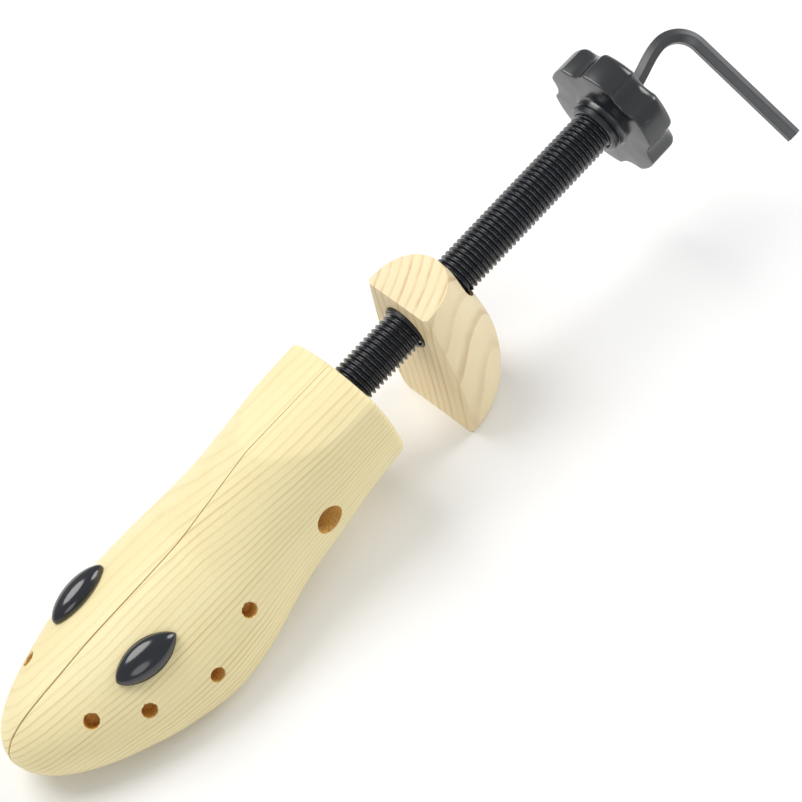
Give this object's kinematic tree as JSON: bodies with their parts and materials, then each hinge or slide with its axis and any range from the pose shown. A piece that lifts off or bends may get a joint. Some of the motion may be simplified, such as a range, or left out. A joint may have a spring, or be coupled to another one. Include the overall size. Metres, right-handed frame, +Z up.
{
  "type": "shoe stretcher",
  "caption": "Last-shaped wooden shoe stretcher: split forepart, heel block on a threaded tube with a lobed knob, and an L handle that spreads the halves.",
  "frame": {"origin": "centre of the bounding box's bottom face, as it stands on its sole and heel block", "axes": "+X towards the toe, +Y to the left, +Z up"},
  "size_m": [0.434, 0.101, 0.1137],
  "materials": {
    "pine": "satin, bare sanded pine",
    "steel": "zinc-bright steel",
    "black_steel": "black oxide, satin",
    "tube_plastic": "moulded black plastic, semi-gloss",
    "black_plastic": "moulded black plastic, gloss"
  },
  "bodies": {
    "frame": {"bearing_plate": "steel", "hinge_pin_upper": "steel", "hinge_pin_lower": "steel", "cross_bolt": "steel", "cross_nut": "steel", "disc_springs_left": "steel", "disc_springs_right": "steel"},
    "half_left": {"forepart_left": "pine", "ramp_plate_left": "steel", "hinge_bracket_left_upper": "steel", "hinge_bracket_left_lower": "steel", "hinge_screw_left_upper": "steel", "hinge_screw_left_lower": "steel"},
    "half_right": {"forepart_right": "pine", "ramp_plate_right": "steel", "hinge_bracket_right_upper": "steel", "hinge_bracket_right_lower": "steel", "hinge_screw_right_upper": "steel", "hinge_screw_right_lower": "steel"},
    "screw": {"threaded_tube": "tube_plastic", "tube_retaining_ring": "steel", "knob": "black_plastic", "knob_screw": "steel"},
    "heel": {"heel_block": "pine", "heel_thread_bush": "black_plastic"},
    "handle": {"handle_rod": "black_steel", "rod_collar": "steel", "collar_screw": "steel", "thrust_washer": "steel", "stop_nut": "steel"},
    "wedge": {"expander_wedge": "steel"},
    "plug_left": {"bunion_plug_left": "black_plastic"},
    "plug_right": {"bunion_plug_right": "black_plastic"}
  },
  "joints": [
    {"name": "half_left_swing", "type": "hinge", "parent": "frame", "child": "half_left", "pos_m": [0.01432, -0.00707, 0.05856], "axis": [0.1426, 0, 0.9898], "range_deg": [0, 2.47]},
    {"name": "half_right_swing", "type": "hinge", "parent": "frame", "child": "half_right", "pos_m": [0.01432, -0.00707, 0.05856], "axis": [0.1426, 0, 0.9898], "range_deg": [-2.47, 0]},
    {"name": "knob_turn", "type": "hinge", "parent": "frame", "child": "screw", "pos_m": [-0.08644, -0.00707, 0.07308], "axis": [0.9898, 0, -0.1426], "range_deg": [-4320, 11520]},
    {"name": "heel_slide", "type": "slide", "parent": "frame", "child": "heel", "axis": [0.9898, 0, -0.1426], "range_m": [-0.0801, 0.0301]},
    {"name": "handle_turn", "type": "hinge", "parent": "frame", "child": "handle", "pos_m": [-0.08644, -0.00707, 0.07308], "axis": [0.9898, 0, -0.1426], "range_deg": [0, 5400]},
    {"name": "wedge_slide", "type": "slide", "parent": "frame", "child": "wedge", "axis": [0.9898, 0, -0.1426], "range_m": [-0.01501, 0]},
    {"name": "plug_left_pull", "type": "slide", "parent": "half_left", "child": "plug_left", "axis": [0.1412, 0.4873, 0.8618], "range_m": [0, 0.012]},
    {"name": "plug_right_pull", "type": "slide", "parent": "half_right", "child": "plug_right", "axis": [0.1412, -0.4873, 0.8618], "range_m": [0, 0.012]}
  ],
  "couplings": [
    {"joint": "heel_slide", "follows": "knob_turn", "m_per_rad": -0.00039789},
    {"joint": "wedge_slide", "follows": "handle_turn", "m_per_rad": -0.00015915},
    {"joint": "half_left_swing", "follows": "handle_turn", "ratio": 0.00045769},
    {"joint": "half_right_swing", "follows": "handle_turn", "ratio": -0.00045769}
  ]
}
